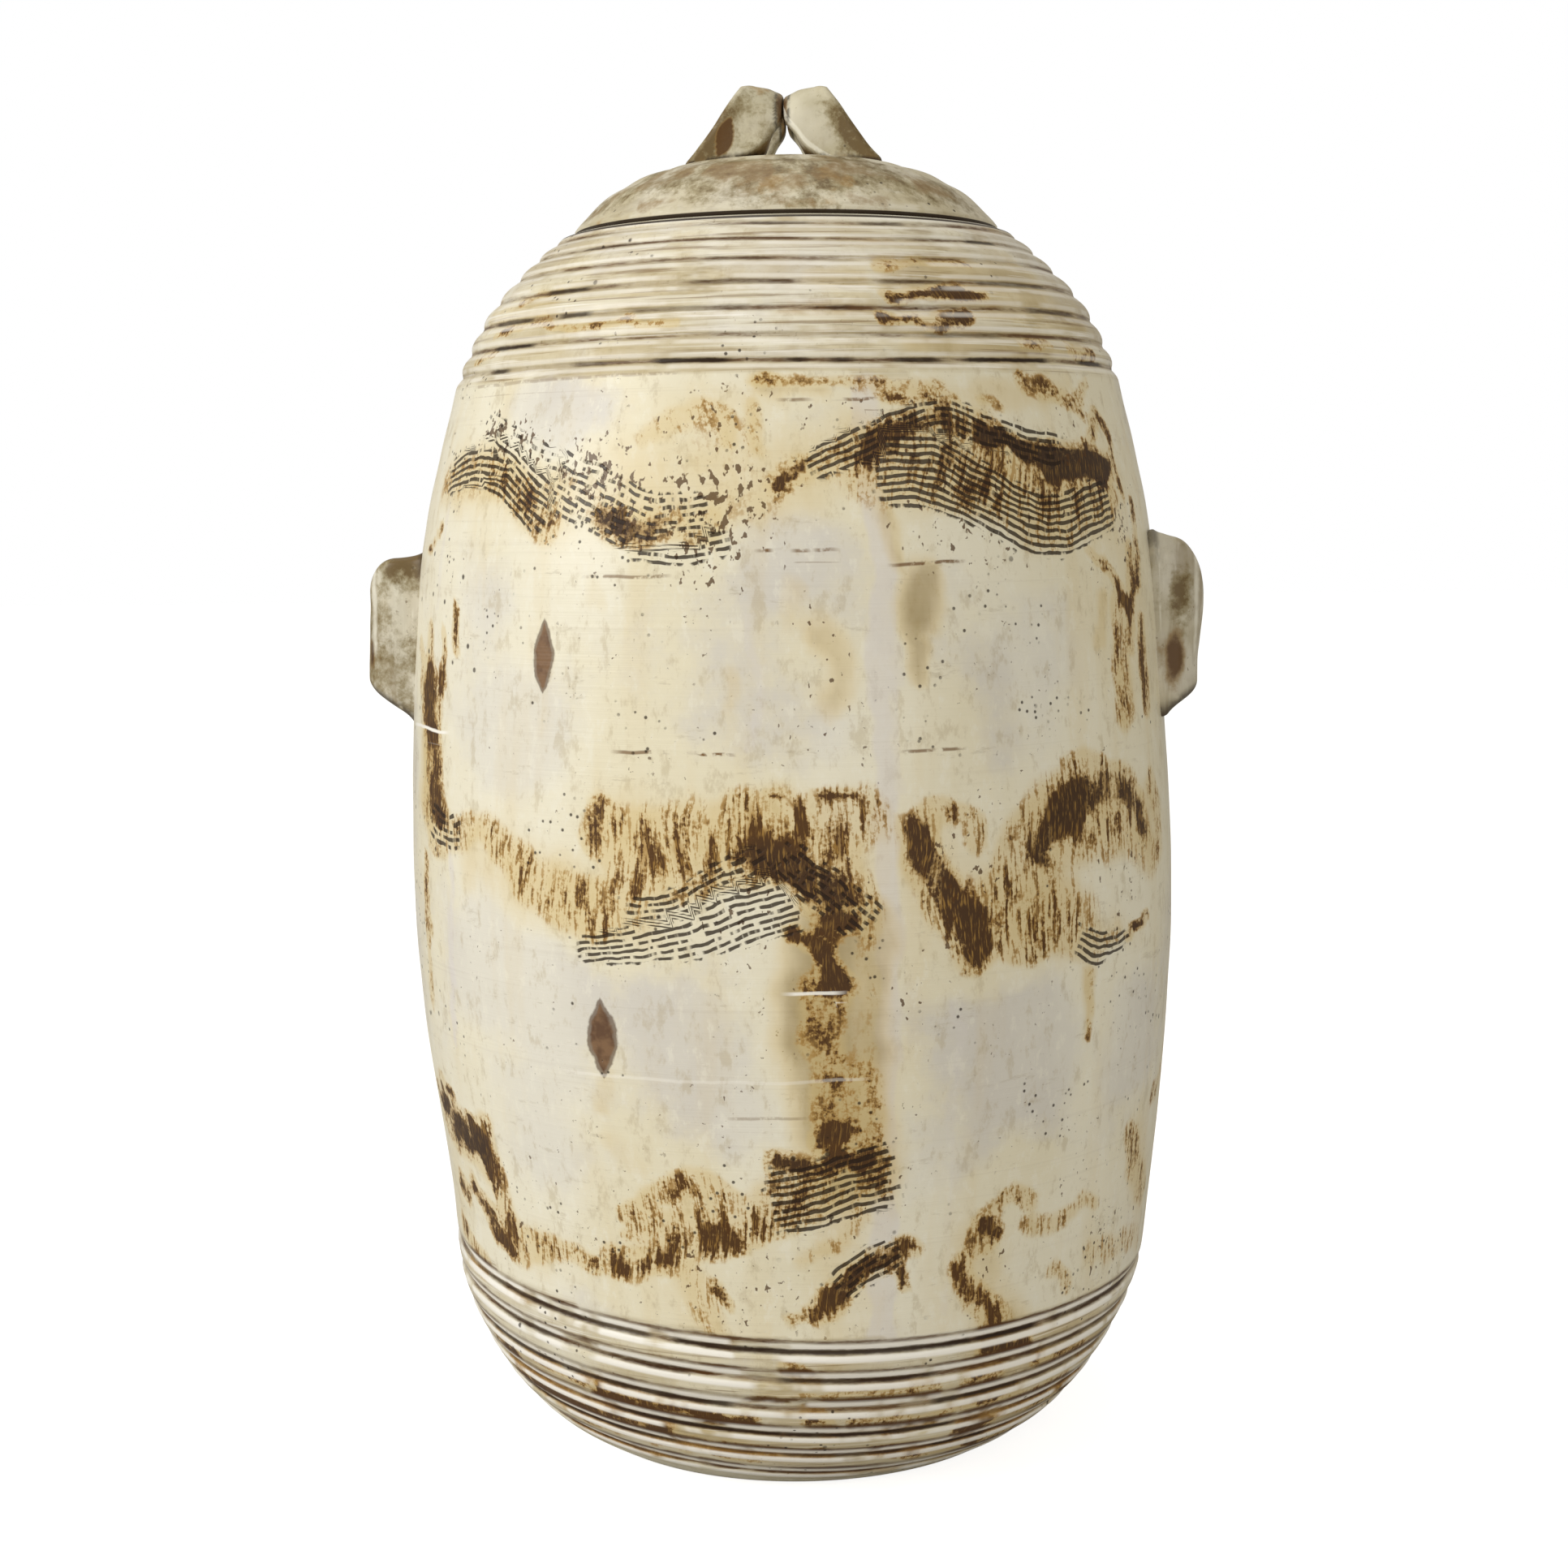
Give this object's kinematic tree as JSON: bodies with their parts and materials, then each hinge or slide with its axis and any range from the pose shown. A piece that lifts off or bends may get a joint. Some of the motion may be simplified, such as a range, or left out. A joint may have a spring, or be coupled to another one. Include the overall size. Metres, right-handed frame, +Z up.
{
  "type": "covered jar",
  "caption": "Tall barrel-shaped glazed stoneware jar with throwing grooves, strap ears on the sides and a domed lid that lifts off by a knob of leaning strap loops.",
  "frame": {"origin": "middle of the flat base, on the surface that the jar stands on", "axes": "+Z up along the jar's axis, ears on +X and -X, -Y towards the side that the picture shows"},
  "size_m": [0.2906, 0.266, 0.4638],
  "materials": {
    "cream_glaze": "satin cream slip glaze with iron-brown wash",
    "ear_glaze": "satin grey-brown slip glaze",
    "bare_clay": "unglazed stoneware"
  },
  "bodies": {
    "jar": {"jar_base": "cream_glaze", "jar_wall": "cream_glaze", "mouth_ring": "cream_glaze", "left_ear": "ear_glaze", "right_ear": "ear_glaze"},
    "lid": {"lid_dome": "cream_glaze", "lid_flange": "bare_clay", "left_knob_loop": "ear_glaze", "right_knob_loop": "ear_glaze"}
  },
  "joints": [
    {"name": "lid_lift", "type": "slide", "parent": "jar", "child": "lid", "axis": [0, 0, 1], "range_m": [0, 0.12]}
  ]
}
